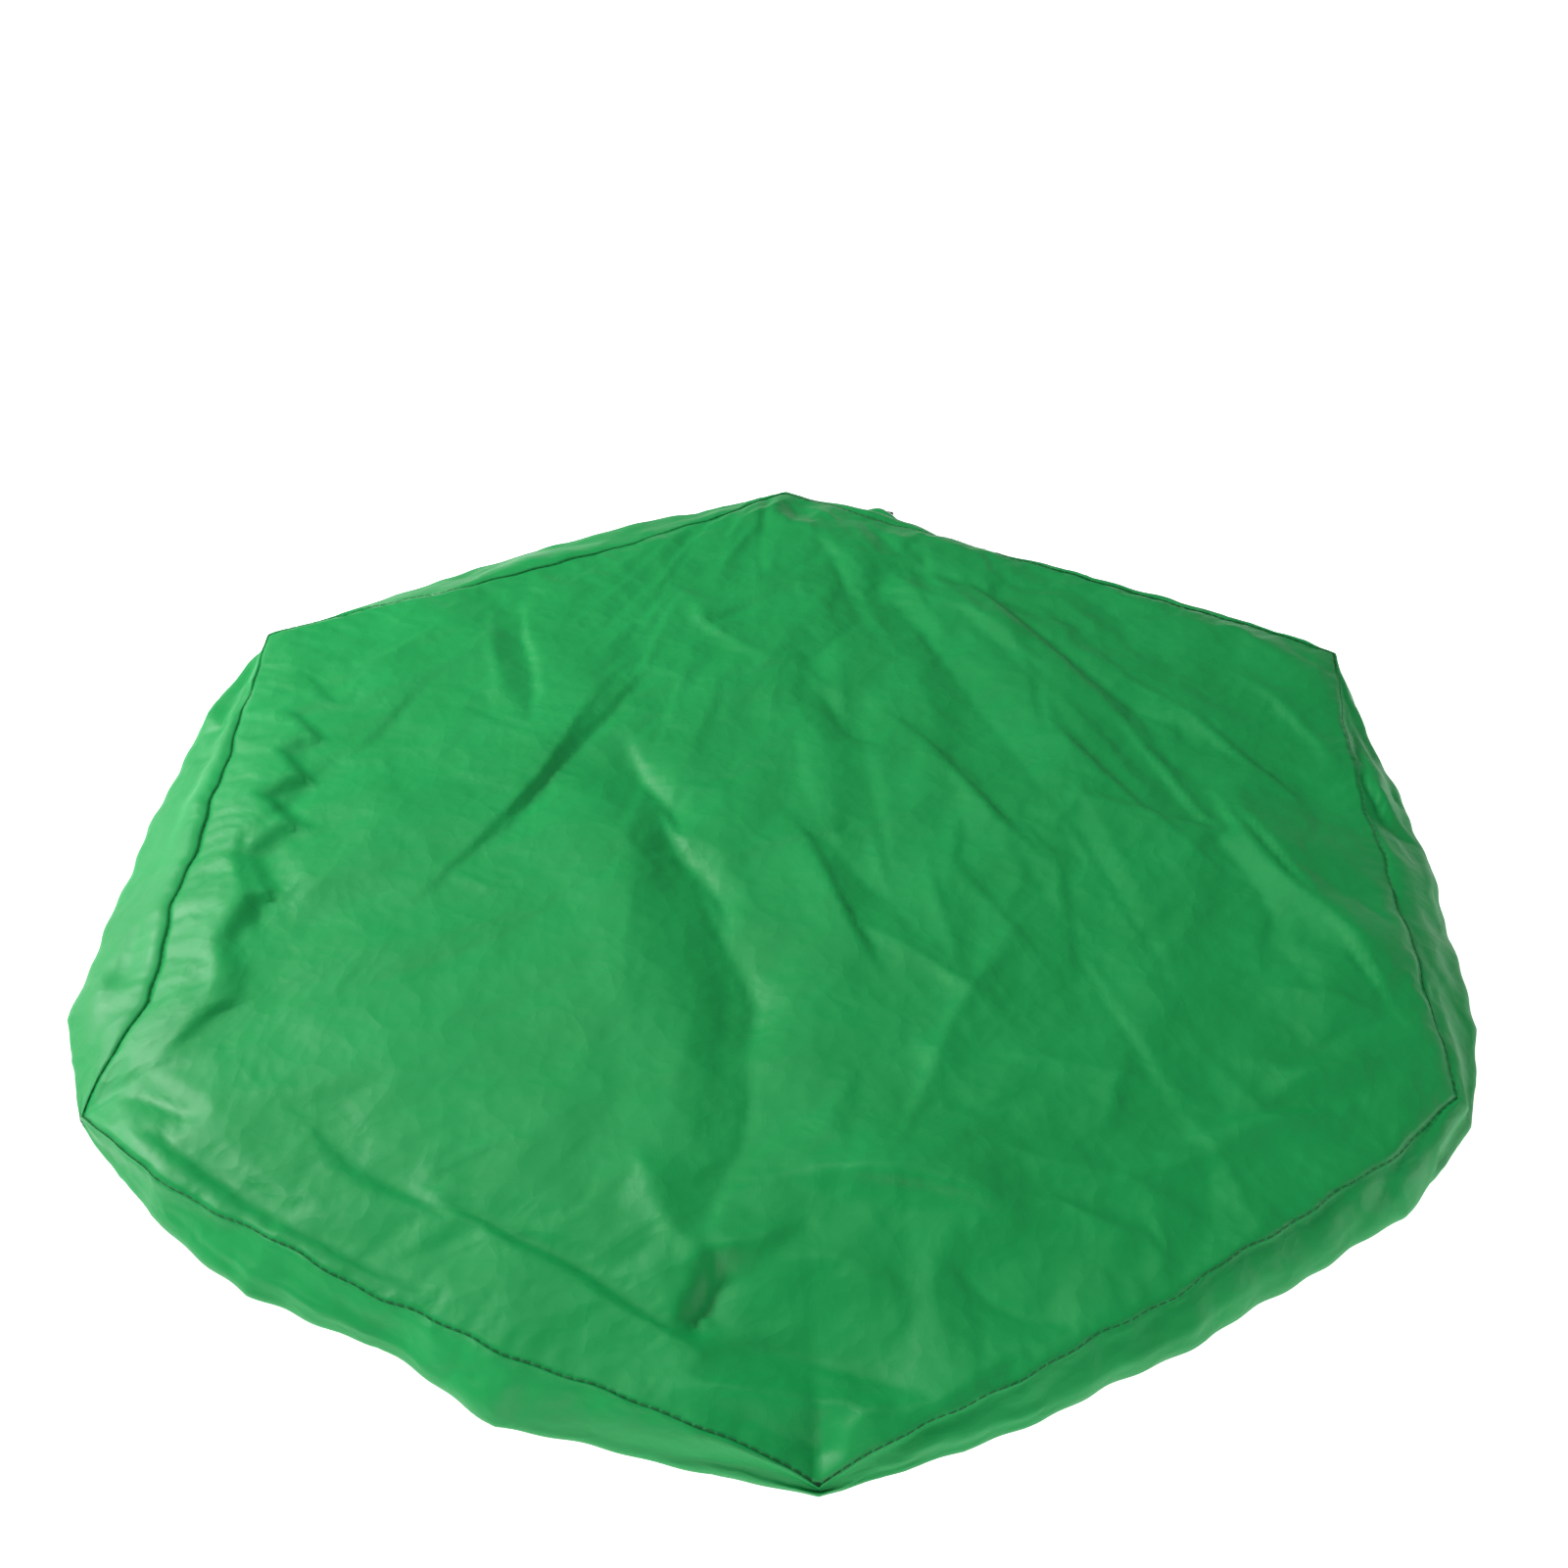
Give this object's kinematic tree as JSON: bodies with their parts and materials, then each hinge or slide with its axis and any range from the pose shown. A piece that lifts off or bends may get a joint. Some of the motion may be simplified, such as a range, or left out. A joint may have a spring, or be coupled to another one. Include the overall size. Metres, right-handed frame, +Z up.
{
  "type": "hexagonal drawstring cover",
  "caption": "Hexagonal coated-cloth cover laid flat: sewn top panel, skirt folded under into a drawstring hem, cord with a spring cord lock.",
  "frame": {"origin": "middle of the hexagonal cover, on the ground that it lies on", "axes": "+Z up out of the top panel, +Y through the back corner of the hexagon, +X to the right; opposite corners lie on the Y axis"},
  "size_m": [1.3324, 1.444, 0.062],
  "materials": {
    "cloth": "satin coated",
    "thread": "matte",
    "cord": "braided matte",
    "lock_plastic": "fine matte",
    "spring_steel": "drawn wire"
  },
  "bodies": {
    "cover": {"top_panel": "cloth", "skirt_right": "cloth", "flap_right": "cloth", "skirt_back_right": "cloth", "flap_back_right": "cloth", "skirt_back_left": "cloth", "flap_back_left": "cloth", "skirt_left": "cloth", "flap_left": "cloth", "skirt_front_left": "cloth", "flap_front_left": "cloth", "skirt_front_right": "cloth", "flap_front_right": "cloth", "skirt_strip_end": "cloth", "flap_strip_end": "cloth", "casing_right": "cloth", "casing_back_right": "cloth", "casing_back_left": "cloth", "casing_left": "cloth", "casing_front_left": "cloth", "casing_front_right": "cloth", "top_seam_thread": "thread", "hem_thread": "thread", "join_thread": "thread", "casing_bartacks": "thread", "drawstring": "cord", "cord_end_long": "cord", "cord_end_short": "cord", "knot_long": "cord", "knot_short": "cord"},
    "cord_lock": {"lock_barrel": "lock_plastic", "lock_spring": "spring_steel"},
    "lock_button": {"lock_plunger": "lock_plastic"}
  },
  "joints": [
    {"name": "lock_slide", "type": "slide", "parent": "cover", "child": "cord_lock", "axis": [0, 1, 0], "range_m": [0, 0.025]},
    {"name": "button_press", "type": "slide", "parent": "cord_lock", "child": "lock_button", "axis": [-1, 0, 0], "range_m": [0, 0.004], "stiffness_N_per_m": 1500, "springref_m": -0.003, "deforming": ["lock_spring"]}
  ]
}
